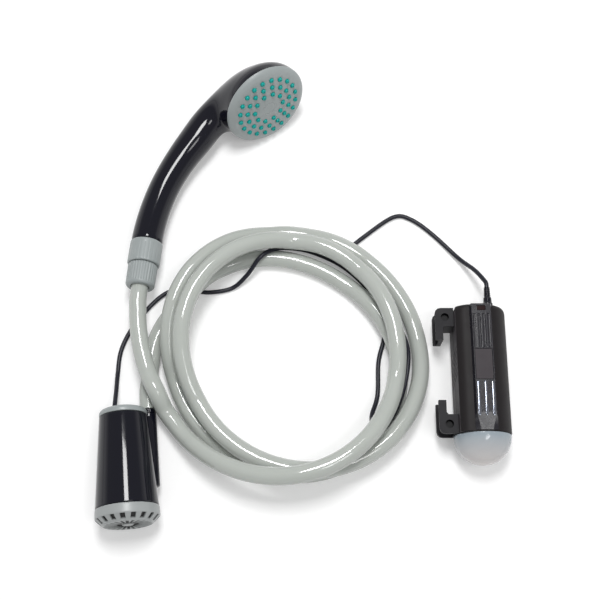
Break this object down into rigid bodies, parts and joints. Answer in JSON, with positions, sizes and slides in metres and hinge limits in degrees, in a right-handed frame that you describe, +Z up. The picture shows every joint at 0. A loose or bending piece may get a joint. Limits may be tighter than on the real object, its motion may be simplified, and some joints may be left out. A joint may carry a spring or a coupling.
{
  "type": "portable shower",
  "caption": "Battery shower set: handset with rubber nozzles, coiled hose, submersible pump, cable and a hook-on battery pack with a lamp dome.",
  "frame": {"origin": "on the ground, under the middle of the box round the handset, the pump and the battery pack", "axes": "+Z up, +Y from the pump and the lamp dome towards the shower head, +X from the pump towards the battery pack"},
  "size_m": [0.324, 0.3878, 0.0727],
  "materials": {
    "light_grey_plastic": "satin",
    "gloss_black_plastic": "gloss",
    "satin_dark_plastic": "satin",
    "strip_plastic": "satin",
    "black_rubber": "matte",
    "cable_rubber": "satin",
    "hose_pvc": "gloss",
    "teal_rubber": "satin",
    "frosted_dome": "frosted",
    "white_plastic": "satin",
    "light_source": "gloss",
    "circuit_board": "satin",
    "cell_wrap": "gloss",
    "red_window": "gloss",
    "gloss_rib_plastic": "gloss",
    "bright_steel": "satin"
  },
  "bodies": {
    "base": {"pump_top_cap": "light_grey_plastic", "pump_body": "gloss_black_plastic", "outlet_spigot": "gloss_black_plastic", "motor_bulkhead": "gloss_black_plastic", "inlet_plate": "gloss_black_plastic", "power_jack": "gloss_black_plastic", "cell_holder": "satin_dark_plastic", "case_upper": "satin_dark_plastic", "case_lower": "satin_dark_plastic", "label_panel": "satin_dark_plastic", "hook_upper": "satin_dark_plastic", "hook_lower": "satin_dark_plastic", "trim_strip": "strip_plastic", "hose_washer": "black_rubber", "cable_gland": "black_rubber", "power_cable": "cable_rubber", "hose_handset_run": "hose_pvc", "hose_coil": "hose_pvc", "hose_pump_run": "hose_pvc", "lamp_dome": "frosted_dome", "lamp_board": "white_plastic", "lamp_led": "light_source", "control_board": "circuit_board", "cell_1": "cell_wrap", "cell_2": "cell_wrap", "indicator_window": "red_window", "gloss_rib_1": "gloss_rib_plastic", "gloss_rib_2": "gloss_rib_plastic", "gloss_rib_3": "gloss_rib_plastic", "hose_tail": "bright_steel", "motor_can": "bright_steel", "hook_screw_upper": "bright_steel", "hook_screw_lower": "bright_steel"},
    "handset": {"handset_collar": "light_grey_plastic", "handset_shell": "gloss_black_plastic", "face_plate": "light_grey_plastic", "nozzle_mat": "teal_rubber", "centre_cap": "light_grey_plastic", "face_screw": "bright_steel"},
    "nut": {"hose_nut": "light_grey_plastic"},
    "strainer": {"strainer": "light_grey_plastic"},
    "rotor": {"motor_shaft": "bright_steel", "impeller": "white_plastic"},
    "button": {"power_button": "gloss_black_plastic"},
    "plug": {"plug_body": "gloss_black_plastic", "plug_barrel": "bright_steel"}
  },
  "joints": [
    {"name": "handset_swivel", "type": "hinge", "parent": "base", "child": "handset", "pos_m": [-0.1348, 0.0003, 0.022], "axis": [0.085, 0.9921, -0.0924], "continuous": true},
    {"name": "nut_turn", "type": "hinge", "parent": "base", "child": "nut", "pos_m": [-0.1348, 0.0003, 0.022], "axis": [0.085, 0.9921, -0.0924], "continuous": true},
    {"name": "strainer_twist", "type": "hinge", "parent": "base", "child": "strainer", "pos_m": [-0.1351, -0.1784, 0.0245], "axis": [-0.1077, 0.9914, -0.0748], "range_deg": [0, 25]},
    {"name": "impeller_spin", "type": "hinge", "parent": "base", "child": "rotor", "pos_m": [-0.1351, -0.1784, 0.0245], "axis": [-0.1077, 0.9914, -0.0748], "continuous": true},
    {"name": "power_press", "type": "slide", "parent": "base", "child": "button", "axis": [0, -1, 0], "range_m": [0, 0.0008], "stiffness_N_per_m": 300},
    {"name": "plug_pull", "type": "slide", "parent": "base", "child": "plug", "axis": [0, 1, 0], "range_m": [0, 0.011], "deforming": ["power_cable"]}
  ]
}
